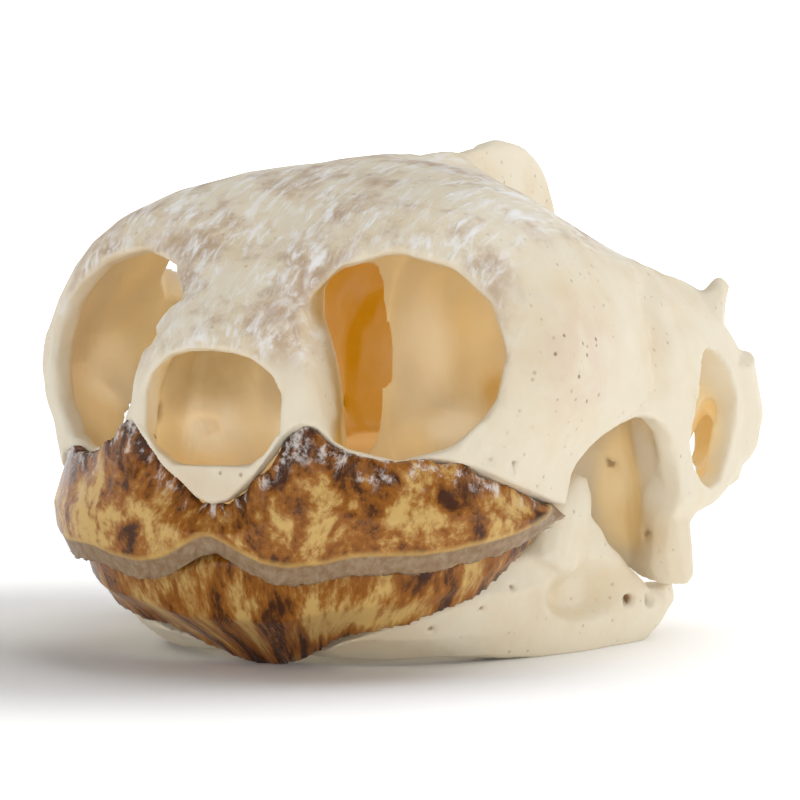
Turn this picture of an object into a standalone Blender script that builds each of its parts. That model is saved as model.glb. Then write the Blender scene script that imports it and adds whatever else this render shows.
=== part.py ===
"""Turtle skull with its horn beak: cranium, lower jaw and the two horn sheaths.

The snout points to -Y, the animal's left is +X and +Z is up. The skull rests on the flat underside of
its jaw at Z = 0. Lengths below are in millimetres and become metres when a mesh is made.
"""
import math

import bmesh
import bpy
from mathutils import Matrix, Vector

MM = 0.001

# Driving dimensions
WALL = 1.15
GAP = 0.32
VOXEL = 0.34
CLOSE = 0.02
CRANIUM_FACES = 6000
JAW_FACES = 1500
# Degrees that the snout dips when the jaw lies flat
PITCH = 1.2
PITCH_AT = 18.0
# Bone that is worn flat where the jaw rests
FLAT = 0.42
SHEATH_THICKNESS = 0.85

# Plan of the upper beak: half width, depth and where its tip stands
UPPER_HALF_WIDTH = 14.2
UPPER_DEPTH = 15.4
UPPER_TIP = 0.5
# Plan of the lower beak, which closes inside the upper one
LOWER_HALF_WIDTH = 12.6
LOWER_DEPTH = 13.4
LOWER_TIP = 2.0
# Squareness of both plans: 1 is an ellipse, less is blunter
BLUNTNESS = 0.8

# Half outlines of the cranium's outer form across the skull, from the middle of the roof round to the
# middle of the palate: station along Y, then (X, Z) of roof middle, roof, roof edge, brow, widest, cheek,
# jaw edge, palate and palate middle
CRANIUM_STATIONS = (
    (1, (0, 17.9), (1.3, 17.8), (2.6, 17.1), (3.6, 15.6), (4, 13.6),
     (3.6, 11), (2.8, 8.6), (1.4, 7.9), (0, 7.8)),
    (1.8, (0, 18.9), (1.9, 18.7), (3.4, 17.9), (4.6, 16.2), (5.4, 13.6),
     (5.7, 10.8), (5.2, 7.6), (2.6, 8), (0, 8)),
    (3, (0, 19.8), (2.2, 19.6), (3.8, 18.6), (5.6, 16.4), (7.2, 13.4),
     (7.9, 10.6), (7.4, 7), (4, 8), (0, 8)),
    (5, (0, 21.25), (2.3, 21.15), (4, 20.05), (6.8, 17.65), (9.4, 13.6),
     (10.3, 10.6), (9.8, 7), (6, 8), (0, 8)),
    (8, (0, 23.05), (3.8, 23.35), (7.7, 22.95), (11.3, 20.75), (13.4, 16),
     (12.9, 11), (12, 7.2), (8, 8), (0, 8)),
    (10.6, (0, 24.6), (4.7, 24.8), (9.5, 24.1), (13.4, 21.2), (15.6, 15.6),
     (13.9, 11), (13, 7.4), (9, 8), (0, 8)),
    (14, (0, 25.8), (5, 25.9), (10.2, 24.6), (14.1, 21.3), (16.1, 15.8),
     (14.2, 11.2), (13.5, 7.6), (9, 8), (0, 8)),
    (18, (0, 26.6), (5, 26.3), (10.2, 24.5), (14.2, 20.9), (16.3, 15.6),
     (14.9, 11.4), (14.2, 8), (9, 8), (0, 8)),
    (22, (0, 27.0), (5, 26.1), (10.1, 23.6), (14.1, 20.5), (16.3, 15.4),
     (15.7, 11.4), (15, 8), (9, 8), (0, 8)),
    (26, (0, 26.8), (4.8, 25), (9.8, 22.6), (13.9, 20.2), (16.4, 15.2),
     (16.1, 11.2), (15.5, 7.2), (9, 8), (0, 8)),
    (30, (0, 26.9), (4.6, 24.4), (9.4, 22.0), (13.6, 19.9), (16.5, 15),
     (16.3, 10.8), (15.6, 7.4), (9, 8), (0, 8)),
    (33.6, (0, 25.4), (4.4, 23.4), (9, 21.2), (13.2, 19.2), (16.3, 14.8),
     (16.2, 11.2), (15.3, 8.6), (9, 8), (0, 8)),
    (35.6, (0, 20), (4, 19.6), (8.4, 18.4), (12.4, 16.8), (15.4, 14.2),
     (15.5, 12), (14.8, 10.2), (9, 9.4), (0, 9.4)),
)

# Half widths of the braincase at its stations: Y, then (Z, half width) from the palate up to the roof
BRAINCASE_STATIONS = (
    (15.2, (8.8, 4.8), (11.5, 3.2), (16.0, 2.9), (20.5, 3.6), (24.2, 6.0)),
    (19.0, (8.8, 4.9), (12.0, 4.0), (16.0, 3.9), (20.5, 4.6), (24.8, 6.2)),
    (23.0, (8.8, 5.2), (12.5, 5.0), (16.5, 5.2), (20.5, 5.2), (25.0, 6.0)),
    (27.0, (8.8, 5.6), (13.0, 6.0), (17.0, 5.9), (20.5, 4.6), (25.0, 2.6)),
    (31.0, (8.8, 5.0), (13.0, 5.6), (16.5, 5.3), (19.5, 3.8), (22.4, 1.6)),
    (34.6, (9.6, 3.0), (12.5, 3.8), (15.5, 3.6), (18.0, 2.6), (20.0, 1.0)),
)
BRAINCASE_WALL = 0.85
# The oval opening at its front: (Z, half width with the wall)
FENESTRA = ((11.0, 1.0), (13.2, 3.0), (16.0, 3.5), (18.6, 3.0), (20.4, 1.0))
# The oval opening at its back, the foramen magnum
FORAMEN = ((10.8, 1.5), (12.4, 3.2), (14.4, 3.7), (16.3, 3.2), (17.8, 1.5))

# Wall between the nose and the orbit: front and back ends of level lines, from the palate up to the roof
NASAL_SIDE = (
    ((5.6, 2.5, 9.2), (4.3, 7.2, 9.2)),
    ((5.3, 2.4, 13.5), (4.2, 7.2, 13.5)),
    ((4.6, 2.8, 16.2), (3.8, 7.2, 16.2)),
    ((3.6, 3.8, 18.2), (3.3, 7.2, 18.2)),
    ((3.0, 5.0, 20.2), (2.8, 7.4, 20.2)),
)
NASAL_WALL = 0.9


def spline(points, per_span, closed=False):
    """Returns points of a smooth curve through the given ones, as Catmull and Rom's rule gives them."""
    count = len(points)
    spans = count if closed else count - 1
    result = []
    for i in range(spans):
        if closed:
            a, b, c, d = (points[(i + k - 1) % count] for k in range(4))
        else:
            a, b, c, d = (points[min(max(i + k - 1, 0), count - 1)] for k in range(4))
        for step in range(per_span):
            t = step / per_span
            start = a * (-t + 2 * t**2 - t**3) + b * (2 - 5 * t**2 + 3 * t**3)
            end = c * (t + 4 * t**2 - 3 * t**3) + d * (t**3 - t**2)
            result.append((start + end) / 2)
    if not closed:
        result.append(points[-1].copy())
    return result


def make_object(name, mesh):
    """Links a new object for a mesh and returns it."""
    obj = bpy.data.objects.new(name, mesh)
    bpy.context.scene.collection.objects.link(obj)
    return obj


def loft(name, rings):
    """Makes a closed solid through rings of equal length, with flat ends."""
    bm = bmesh.new()
    loops = [[bm.verts.new(p * MM) for p in ring] for ring in rings]
    size = len(loops[0])
    for low, high in zip(loops, loops[1:]):
        for i in range(size):
            j = (i + 1) % size
            bm.faces.new((low[i], low[j], high[j], high[i]))
    bm.faces.new(reversed(loops[0]))
    bm.faces.new(loops[-1])
    bmesh.ops.recalc_face_normals(bm, faces=bm.faces)
    mesh = bpy.data.meshes.new(name)
    bm.to_mesh(mesh)
    bm.free()
    return make_object(name, mesh)


def smooth_loft(name, rings, per_span=3):
    """Lofts through rings after smoothing the run from ring to ring."""
    tracks = [spline([ring[i] for ring in rings], per_span) for i in range(len(rings[0]))]
    return loft(name, [list(ring) for ring in zip(*tracks)])


def prism(name, outline, axis, low, high, per_span=4):
    """Makes a solid from a smooth closed outline, drawn along X, Y or Z from low to high."""
    order = {"X": (2, 0, 1), "Y": (0, 2, 1), "Z": (0, 1, 2)}[axis]
    curve = spline([Vector((a, b, 0)) for a, b in outline], per_span, closed=True)
    rings = []
    for level in (low, high):
        ring = []
        for p in curve:
            values = (p.x, p.y, level)
            ring.append(Vector([values[k] for k in order]))
        rings.append(ring)
    return loft(name, rings)


def ellipsoid(name, centre, radii, turn=(0, 0, 0), segments=24):
    """Makes an ellipsoid, turned about its centre by degrees about X, Y and Z."""
    bm = bmesh.new()
    bmesh.ops.create_uvsphere(bm, u_segments=segments, v_segments=segments // 2, radius=1)
    place = Matrix.Translation(Vector(centre) * MM)
    for axis, angle in zip("XYZ", turn):
        place = place @ Matrix.Rotation(math.radians(angle), 4, axis)
    bm.transform(place @ Matrix.Diagonal(Vector((*radii, 1 / MM)) * MM))
    mesh = bpy.data.meshes.new(name)
    bm.to_mesh(mesh)
    bm.free()
    return make_object(name, mesh)


def rod(name, points, radii, per_span=3, segments=12):
    """Makes a tapering round bar through points, each with its own radius or pair of radii."""
    path = spline([Vector(p) for p in points], per_span)
    pairs = [Vector((r, r, 0)) if isinstance(r, (int, float)) else Vector((*r, 0)) for r in radii]
    widths = spline(pairs, per_span)
    rings = []
    for i, centre in enumerate(path):
        ahead = (path[min(i + 1, len(path) - 1)] - path[max(i - 1, 0)]).normalized()
        side = ahead.cross(Vector((0, 0, 1)) if abs(ahead.z) < 0.8 else Vector((0, 1, 0))).normalized()
        over = side.cross(ahead)
        ring = []
        for k in range(segments):
            angle = 2 * math.pi * k / segments
            wide, high = math.cos(angle) * widths[i].x, math.sin(angle) * widths[i].y
            ring.append(centre + side * wide + over * high)
        rings.append(ring)
    return loft(name, rings)


def sheet(name, lines, thickness):
    """Makes an upright wall of even thickness through level lines, each given by its two end points."""
    rings = []
    for start, end in lines:
        start, end = Vector(start), Vector(end)
        along = (end - start).normalized()
        half = Vector((-along.y, along.x, 0)) * (thickness / 2)
        rings.append([start - half, end - half, end + half, start + half])
    return smooth_loft(name, rings)


def mirrored(obj):
    """Returns a copy of an object on the animal's other side."""
    bm = bmesh.new()
    bm.from_mesh(obj.data)
    bm.transform(Matrix.Diagonal((-1, 1, 1, 1)))
    bmesh.ops.reverse_faces(bm, faces=bm.faces)
    mesh = bpy.data.meshes.new(obj.name + "_right")
    bm.to_mesh(mesh)
    bm.free()
    return make_object(mesh.name, mesh)


def both_sides(obj):
    """Returns an object and its mirror image."""
    return [obj, mirrored(obj)]


def evaluated_mesh(obj):
    """Returns the mesh that an object's modifiers give."""
    bpy.context.view_layer.update()
    return bpy.data.meshes.new_from_object(obj.evaluated_get(bpy.context.evaluated_depsgraph_get()))


def settle(obj):
    """Replaces an object's mesh by what its modifiers give, and clears the modifiers."""
    mesh = evaluated_mesh(obj)
    obj.modifiers.clear()
    obj.data = mesh
    return obj


def remove(objects):
    """Removes helper solids."""
    for obj in objects:
        bpy.data.objects.remove(obj)


def cut(obj, cutters):
    """Cuts an object by each cutter in turn, and removes the cutters."""
    for cutter in cutters:
        step = obj.modifiers.new("cut", "BOOLEAN")
        step.object = cutter
        step.operation = "DIFFERENCE"
        step.solver = "EXACT"
        settle(obj)
    remove(cutters)
    return obj


def fuse(name, objects, voxel, faces, smoothing=4):
    """Grows overlapping solids together into one closed skin with a bounded number of triangles."""
    bm = bmesh.new()
    for obj in objects:
        bm.from_mesh(obj.data)
    mesh = bpy.data.meshes.new(name)
    bm.to_mesh(mesh)
    bm.free()
    remove(objects)
    obj = make_object(name, mesh)
    skin = obj.modifiers.new("skin", "REMESH")
    skin.mode = "VOXEL"
    skin.voxel_size = voxel * MM
    relax = obj.modifiers.new("relax", "SMOOTH")
    relax.factor = 0.5
    relax.iterations = smoothing
    settle(obj)
    keep_largest(obj.data)
    return thin_out(obj, faces)


def thin_out(obj, faces):
    """Reduces an object to a number of triangles."""
    thin = obj.modifiers.new("thin", "DECIMATE")
    thin.ratio = faces / sum(len(p.vertices) - 2 for p in obj.data.polygons)
    thin.use_collapse_triangulate = True
    return settle(obj)


def merge_close(mesh):
    """Merges points that lie nearly together, as a cut leaves them."""
    bm = bmesh.new()
    bm.from_mesh(mesh)
    bmesh.ops.remove_doubles(bm, verts=bm.verts, dist=CLOSE * MM)
    bm.to_mesh(mesh)
    bm.free()


def keep_largest(mesh):
    """Drops every loose shell but the largest."""
    bm = bmesh.new()
    bm.from_mesh(mesh)
    seen = set()
    shells = []
    for start in bm.verts:
        if start in seen:
            continue
        seen.add(start)
        shell = [start]
        for vert in shell:
            for edge in vert.link_edges:
                other = edge.other_vert(vert)
                if other not in seen:
                    seen.add(other)
                    shell.append(other)
        shells.append(shell)
    shells.sort(key=len)
    for shell in shells[:-1]:
        bmesh.ops.delete(bm, geom=shell, context="VERTS")
    bm.to_mesh(mesh)
    bm.free()


def cranium_shell():
    """Makes the outer dermal bone as a closed form with a wall of even thickness."""
    rings = []
    for y, *half in CRANIUM_STATIONS:
        left = spline([Vector((x, y, z)) for x, z in half], 3)
        right = [Vector((-p.x, p.y, p.z)) for p in reversed(left[1:-1])]
        rings.append(left + right)
    shell = smooth_loft("shell", rings)
    wall = shell.modifiers.new("wall", "SOLIDIFY")
    wall.thickness = WALL * MM
    wall.offset = -1
    return settle(shell)


def nostril():
    """Makes the cutter of the nostril, which widens inwards so that its rim is thin."""
    half = [(0, 17.5), (2.5, 17.0), (3.7, 15.4), (3.6, 13.2), (2.4, 11.9), (0, 11.6)]
    outline = half + [(-x, z) for x, z in reversed(half[1:-1])]
    curve = spline([Vector((x, 0, z)) for x, z in outline], 4, closed=True)
    rings = []
    for y, wide in ((-3, 1.0), (1.0, 1.0), (3.0, 1.15), (5.4, 1.15)):
        rings.append([Vector((p.x * wide, y, p.z)) for p in curve])
    return loft("nostril", rings)


def open_shell(shell):
    """Cuts the orbits, nostrils, cheek notches, temporal openings and underside out of the shell."""
    orbit = rod("orbit", [(6.4, 9.4, 16.6), (8.5, 5.4, 17.2), (10.2, 1.0, 17.8)],
                [(5.4, 5.4), (5.7, 5.4), (5.8, 6.0)])
    rear = [(-12.6, 5), (-12.6, 18), (-8, 24), (0, 24.4), (8, 24), (12.6, 18), (12.6, 5)]
    under = [(-12.4, 13.0), (-13.4, 20.0), (-13.6, 44), (13.6, 44), (13.4, 20.0), (12.4, 13.0)]
    cutters = [prism("rear", rear, "Y", 33.2, 44, 1), prism("under", under, "Z", 0, 9.4, 1)]
    cutters += [nostril()] + both_sides(orbit)
    cheek = [(14.2, 0), (14.2, 8.8), (15.2, 11.3), (17.4, 12.8), (20.0, 13.2), (22.2, 12.6)]
    cheek += [(23.8, 11.2), (24.9, 8.4), (25.6, 4.0), (26.0, 0)]
    cutters += both_sides(prism("cheek", cheek, "X", 10.5, 20))
    temporal = [(0.3, 44), (0.3, 33), (1.4, 30.0), (4.0, 29.0), (7.0, 27.6), (9.6, 25.2)]
    temporal += [(11.8, 24.8), (12.9, 28.0), (13.0, 34), (13, 44)]
    cutters += both_sides(prism("temporal", temporal, "Z", 16.6, 40))
    deeper_on_right = [(-9.4, 27), (-10.4, 21.4), (-12.0, 19.2), (-13.6, 20.2), (-13.9, 24.0), (-13.0, 29.0)]
    cutters.append(prism("temporal_right", deeper_on_right, "Z", 18.8, 38))
    return cut(shell, cutters)


def braincase():
    """Makes the tube of the braincase, open in front and behind, with its flared foot and top."""
    solids = []
    for name, inset, ends in (("braincase", 0, (0, 0)), ("brain_hollow", BRAINCASE_WALL, (-2.0, 3.0))):
        rings = []
        last = len(BRAINCASE_STATIONS) - 1
        for i, (y, *half) in enumerate(BRAINCASE_STATIONS):
            y += ends[0] if i == 0 else ends[1] if i == last else 0
            low, high = half[0][0], half[-1][0]
            wall = []
            if inset and i in (0, last):
                half = FENESTRA if i == 0 else FORAMEN
            for z, width in half:
                z = min(max(z, low + 2.6 * inset), high - 2.6 * inset)
                wall.append(Vector((max(width - inset, 0.4), y, z)))
            left = spline(wall, 3)
            rings.append(left + [Vector((-p.x, p.y, p.z)) for p in reversed(left)])
        solids.append(smooth_loft(name, rings))
    return cut(solids[0], [solids[1]])


def palate():
    """Makes the palate and the skull's underside back to the occiput."""
    half = [(0, 2.6), (6.0, 4.2), (10.6, 8.4), (12.6, 14.2), (9.6, 15.6), (6.2, 17.6)]
    half += [(5.0, 20.6), (5.4, 24.0), (8.6, 26.6), (9.4, 29.0), (6.4, 32.4), (2.6, 35.0)]
    outline = half + [(0, 35.4)] + [(-x, y) for x, y in reversed(half[1:])]
    return prism("palate", outline, "Z", 8.0, 9.4)


def inner_bones():
    """Makes the solids that stand inside the skull and behind it."""
    solids = [braincase(), palate()]
    solids += both_sides(sheet("nasal_side", NASAL_SIDE, NASAL_WALL))
    bar = rod("nasal_bar",
              [(5.3, 2.7, 10.8), (4.6, 2.4, 13.0), (4.4, 2.4, 15.2), (4.0, 3.0, 17.2), (3.2, 4.4, 19.2)],
              [(0.8, 0.9), (0.65, 0.9), (0.65, 0.9), (0.7, 0.9), (0.7, 0.9)])
    solids += both_sides(bar)
    back = [(0, 22.0), (3.4, 21.8), (3.4, 17), (4.2, 12.0), (3.6, 9.0), (0, 9.0)]
    back += [(-x, z) for x, z in reversed(back[1:-1])]
    solids.append(prism("nasal_back", back, "Y", 6.2, 7.3))
    floor = [(5, 6.2), (9, 7.4), (12.4, 10), (13.6, 14), (11, 14.6), (7.5, 12)]
    solids += both_sides(prism("orbit_floor", floor, "Z", 9, 10.6))
    capsule = rod("otic", [(4.0, 29.6, 14.6), (8.0, 30.4, 14.8), (12.0, 31.2, 14.4), (14.6, 31.8, 13.6)],
                  [(3.4, 4.4), (2.8, 3.4), (2.8, 3.8), (2.4, 3.4)])
    solids += both_sides(capsule)
    column = rod("quadrate", [(13.8, 26.4, 14.6), (14.2, 26.3, 10.0), (14.0, 26.9, 6.0), (13.6, 27.6, 3.9)],
                 [(1.9, 1.9), (1.5, 1.5), (1.6, 1.5), (2.0, 1.3)])
    solids += both_sides(column)
    wing = rod("quadrate_wing", [(6.4, 24.4, 11.4), (9.0, 25.4, 10.8), (11.4, 26.4, 9.6), (13.6, 27.2, 8.8)],
               [(0.5, 2.6), (0.55, 4.2), (0.6, 5.2), (0.7, 5.0)], segments=16)
    solids += both_sides(wing)
    hook = rod("hook", [(15.2, 33.2, 15.0), (15.6, 34.2, 11.6), (15.0, 33.6, 9.4), (14.2, 32.4, 8.2)],
               [(1.6, 2.4), (1.2, 1.9), (1.0, 1.3), (0.5, 0.6)])
    solids += both_sides(hook)
    horn = rod("squamosal_horn", [(14.0, 32.4, 16.6), (14.4, 33.4, 18.6), (14.7, 34.2, 19.6)],
               [(1.2, 1.6), (0.8, 0.9), (0.4, 0.5)])
    solids += both_sides(horn)
    solids.append(ellipsoid("condyle", (0, 36.0, 11.2), (1.7, 1.9, 1.3)))
    return solids


def crest():
    """Makes the thin fin over the back of the head."""
    profile = [(20, 24.0), (24, 25.8), (28, 26.6), (32, 27.0), (35, 27.4), (37.5, 27.2), (39.8, 26.6)]
    profile += [(41.6, 25.4), (42.8, 23.4), (43.2, 21.6), (42.2, 20.4), (38, 18.6), (34, 17.6)]
    profile += [(30, 18.6), (25, 21.6)]
    return prism("crest", profile, "X", -0.55, 0.55)


def ear_cavities():
    """Makes the cutters of the two ear cups."""
    cup = ellipsoid("ear", (16.6, 28.6, 12.4), (5.0, 2.8, 3.9), turn=(0, 0, 8))
    return both_sides(cup)


def cranium():
    """Makes the whole upper skull as one piece of bone."""
    shell = open_shell(cranium_shell())
    solids = [shell, crest()] + inner_bones()
    rough = fuse("cranium", solids, VOXEL, 60000, smoothing=2)
    cut(rough, ear_cavities() + [upper_sheath(GAP, CLEARING), lower_sheath(GAP)])
    merge_close(rough.data)
    keep_largest(rough.data)
    return thin_out(rough, CRANIUM_FACES)


def beak_point(angle, half_width, depth, tip):
    """Returns the plan point of a beak's outer edge: angle 0 is the tip, 90 degrees the ends."""
    x = half_width * math.copysign(abs(math.sin(angle)) ** BLUNTNESS, angle)
    y = tip + depth * (1 - math.cos(angle) ** BLUNTNESS)
    return Vector((x, y, 0))


def beak_band(name, plan, reach, section, past_ends=0.0, count=44):
    """Lofts a band round a beak: section(u) gives its (inset, Z) corners for u from -1 to 1."""
    even = [2 * i / count - 1 for i in range(count + 1)]
    stations = [math.copysign(abs(u) ** CLOSER_AT_TIP, u) for u in even]
    if past_ends:
        stations = [-1 - past_ends] + stations + [1 + past_ends]
    rings = []
    for u in stations:
        angle = u * reach
        step = 0.01
        here = beak_point(angle, *plan)
        along = (beak_point(angle + step, *plan) - beak_point(angle - step, *plan)).normalized()
        inward = Vector((-along.y, along.x, 0))
        rings.append([here + inward * inset + Vector((0, 0, z)) for inset, z in section(u)])
    return loft(name, rings)


def slope(table, i):
    """Returns the slope of a table's smooth curve at its pair i; the curve starts level."""
    if i == 0:
        return 0
    (x0, v0), (x1, v1) = table[i - 1], table[min(i + 1, len(table) - 1)]
    return (v1 - v0) / (x1 - x0)


def blend(table, x):
    """Reads the value at x of the smooth curve through a table of (x, value) pairs."""
    for i, ((x0, v0), (x1, v1)) in enumerate(zip(table, table[1:])):
        if x <= x1:
            span = x1 - x0
            t = (x - x0) / span
            level = v0 * (1 - 3 * t**2 + 2 * t**3) + v1 * (3 * t**2 - 2 * t**3)
            lean = slope(table, i) * (t - 2 * t**2 + t**3) + slope(table, i + 1) * (t**3 - t**2)
            return level + span * lean
    return table[-1][1]


# Heights round the beak, from the middle (0) to the end on each side (1)
UPPER_TOP = ((0, 9.4), (0.05, 10.3), (0.1, 11.6), (0.15, 13.1), (0.2, 13.7), (0.25, 13.1), (0.31, 12.2),
             (0.4, 11.8), (0.55, 11.8), (0.65, 11.4), (0.75, 10.5), (0.85, 9.7), (1, 8.6))
UPPER_EDGE = ((0, 7.1), (0.04, 6.5), (0.09, 5.8), (0.15, 5.5), (0.2, 5.6), (0.32, 6.1), (0.5, 6.1),
              (0.65, 6.4), (0.8, 6.8), (0.9, 7.4), (1, 8.1))
LOWER_TOP = ((0, 7.3), (0.1, 6.7), (0.3, 6.6), (0.6, 6.6), (0.9, 7.3), (1, 7.4))
LOWER_EDGE = ((0, 0.75), (0.06, 0.95), (0.12, 1.4), (0.3, 2.6), (0.5, 3.2), (0.8, 4.6), (1, 6.5))
# How far outside a sheath the bone under it is cleared away
CLEARING = 3.0
# Reach of a sheath to each side of its tip, and how far past its ends a gap reaches, in shares per millimetre
UPPER_REACH = math.radians(86)
LOWER_REACH = math.radians(84)
END_SHARE = 0.1
# Power that draws a band's stations together at the tip, where its edges curve most
CLOSER_AT_TIP = 1.3


def upper_sheath(grow=0.0, clearing=0.0):
    """Makes the upper horn sheath, or, grown by a gap, the cutter that clears the bone for it."""
    plan = (UPPER_HALF_WIDTH, UPPER_DEPTH, UPPER_TIP)

    def section(u):
        t = min(abs(u), 1)
        top = blend(UPPER_TOP, t) + grow
        edge = blend(UPPER_EDGE, t) - grow
        middle = (top + edge) / 2
        lean = 0.5 * (1 - t)
        out = -grow - clearing
        tall = top - edge
        back = 1.2 + grow
        outer = [(0.5 + lean + out, top), (-0.1 + out, middle)]
        outer += [(0.1 + out, edge + 0.15 * tall), (0.5 + out, edge)]
        inner = [(back - 0.1, edge + 0.03 * tall), (back, middle), (back + lean, top - 0.1 * tall)]
        shoulder = [(0.5 + lean, top)] if grow else []
        return outer + inner + shoulder

    return beak_band("upper_beak_sheath", plan, UPPER_REACH, section, past_ends=grow * END_SHARE)


def lower_sheath(grow=0.0, clearing=0.0):
    """Makes the lower horn sheath, or, grown by a gap, the cutter that clears the bone for it."""
    plan = (LOWER_HALF_WIDTH, LOWER_DEPTH, LOWER_TIP)

    def section(u):
        t = min(abs(u), 1)
        top = blend(LOWER_TOP, t)
        edge = blend(LOWER_EDGE, t)
        tall = top - edge
        tuck = 5.1 * (1 - t) ** 1.8 + 0.7
        middle = edge + tall * 0.42
        thick = SHEATH_THICKNESS
        out = -grow - clearing
        outer = [(0.5 + out, top + grow), (out, top + grow - 0.12 * tall)]
        outer += [(tuck * 0.24 + out, middle), (tuck + out * 0.2, edge - grow)]
        inner = [(tuck + 0.3 + grow, edge + grow + 0.2 * tall)]
        inner += [(tuck * 0.24 + thick + grow, middle + grow + 0.08 * tall)]
        inner += [(thick + 0.2 + grow, top + grow - 0.1 * tall)]
        toe = [(tuck + 0.3 + grow, edge - grow)] if grow else []
        shoulder = [(0.5, top + grow)] if grow else []
        return outer + toe + inner + shoulder

    return beak_band("lower_beak_sheath", plan, LOWER_REACH, section, past_ends=grow * END_SHARE)


def jaw_ring(outer, inner, foot, lows, high):
    """Returns a ring of eight corners across the jaw, from its outer and inner points in plan.

    The foot is where the underside starts, as a share of the way in; lows are the heights of its two edges.
    """
    outer, inner = Vector((*outer, 0)), Vector((*inner, 0))
    across = inner - outer
    low = lows[0]
    tall = high - low
    corners = ((0.12, high), (0.0, low + 0.66 * tall), (foot * 0.42, low + 0.26 * tall), (foot, low))
    corners += ((0.9, lows[1]), (1.0, low + 0.3 * tall), (0.98, low + 0.7 * tall), (0.8, high))
    return [outer + across * t + Vector((0, 0, z)) for t, z in corners]


def lower_jaw():
    """Makes the lower jaw: the U of bone, its two coronoid peaks and its joint ends."""
    half = (
        ((0, 3.0), (0, 9.4), 0.78, (1.2, 1.1), 6.0),
        ((4.6, 3.8), (3.4, 9.6), 0.74, (1.1, 1.0), 6.0),
        ((8.4, 6.4), (5.8, 11.2), 0.68, (1.0, 0.9), 5.9),
        ((10.8, 10.2), (7.6, 13.4), 0.56, (0.9, 0.8), 5.9),
        ((12.0, 14.6), (9.2, 16.2), 0.44, (0.5, 0.5), 6.6),
        ((12.9, 18.6), (10.5, 19.4), 0.36, (0.0, 0.0), 8.4),
        ((13.6, 22.4), (11.0, 22.8), 0.34, (0.0, 0.0), 5.6),
        ((14.1, 26.0), (11.2, 26.0), 0.34, (0.1, 0.1), 3.2),
        ((13.8, 29.4), (11.6, 29.2), 0.30, (1.4, 1.4), 3.2),
    )
    left = [jaw_ring(*row) for row in half]
    right = [[Vector((-p.x, p.y, p.z)) for p in ring] for ring in reversed(left[1:])]
    bar = smooth_loft("jaw_bar", right + left)
    peaks = both_sides(rod("coronoid", [(11.9, 16.6, 5.0), (12.4, 18.2, 8.6), (12.5, 18.8, 10.0)],
                           [(1.4, 3.0), (0.9, 2.0), (0.5, 0.8)]))
    return fuse("lower_jaw", [bar] + peaks, VOXEL, JAW_FACES, smoothing=3)


def material(name, colour, roughness):
    """Makes a plain material of one finish."""
    mat = bpy.data.materials.new(name)
    mat.use_nodes = True
    shader = mat.node_tree.nodes["Principled BSDF"]
    shader.inputs["Base Color"].default_value = (*colour, 1)
    shader.inputs["Roughness"].default_value = roughness
    mat.diffuse_color = (*colour, 1)
    return mat


def finish(obj, mat):
    """Gives a node its material and its shading."""
    obj.data.materials.clear()
    obj.data.materials.append(mat)
    obj.data.shade_smooth()
    obj.data.set_sharp_from_angle(angle=math.radians(50))


def dip_snout(objects):
    """Turns every piece about the X axis, so that the snout dips."""
    pivot = Matrix.Translation(Vector((0, PITCH_AT, 0)) * MM)
    turn = pivot @ Matrix.Rotation(math.radians(PITCH), 4, "X") @ pivot.inverted()
    for obj in objects:
        obj.data.transform(turn)


def flatten_foot(jaw):
    """Cuts the jaw's underside flat where it rests."""
    depth = 6
    lowest = min(v.co.z for v in jaw.data.vertices) / MM
    corners = [(-20, -5), (20, -5), (20, 40), (-20, 40)]
    cut(jaw, [prism("floor", corners, "Z", lowest - depth, lowest + FLAT, 1)])


def stand_on_origin(objects):
    """Moves every piece so that the middle of the whole object's foot is the origin."""
    points = [v.co for obj in objects for v in obj.data.vertices]
    low = [min(p[k] for p in points) for k in range(3)]
    high = [max(p[k] for p in points) for k in range(3)]
    shift = Matrix.Translation(-Vector(((low[0] + high[0]) / 2, (low[1] + high[1]) / 2, low[2])))
    for obj in objects:
        obj.data.transform(shift)


def main():
    """Builds the four pieces of the skull."""
    for obj in list(bpy.data.objects):
        bpy.data.objects.remove(obj)
    skull = cranium()
    jaw = lower_jaw()
    cut(jaw, [lower_sheath(GAP, CLEARING)])
    upper = upper_sheath()
    lower = lower_sheath()
    pieces = (skull, jaw, upper, lower)
    dip_snout(pieces)
    flatten_foot(jaw)
    stand_on_origin(pieces)
    finish(skull, material("skull_bone", (0.80, 0.70, 0.53), 0.6))
    finish(jaw, material("jaw_bone", (0.82, 0.72, 0.54), 0.6))
    finish(upper, material("upper_horn", (0.32, 0.17, 0.06), 0.3))
    finish(lower, material("lower_horn", (0.26, 0.13, 0.05), 0.3))


main()
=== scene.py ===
"""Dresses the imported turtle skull: pored, chalky bone and mottled horn on a white studio floor."""
import math

import bpy
import numpy as np
from bpy.props import FloatProperty, FloatVectorProperty, IntProperty, PointerProperty
from mathutils import Matrix, Vector, noise
from mathutils.bvhtree import BVHTree


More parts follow.
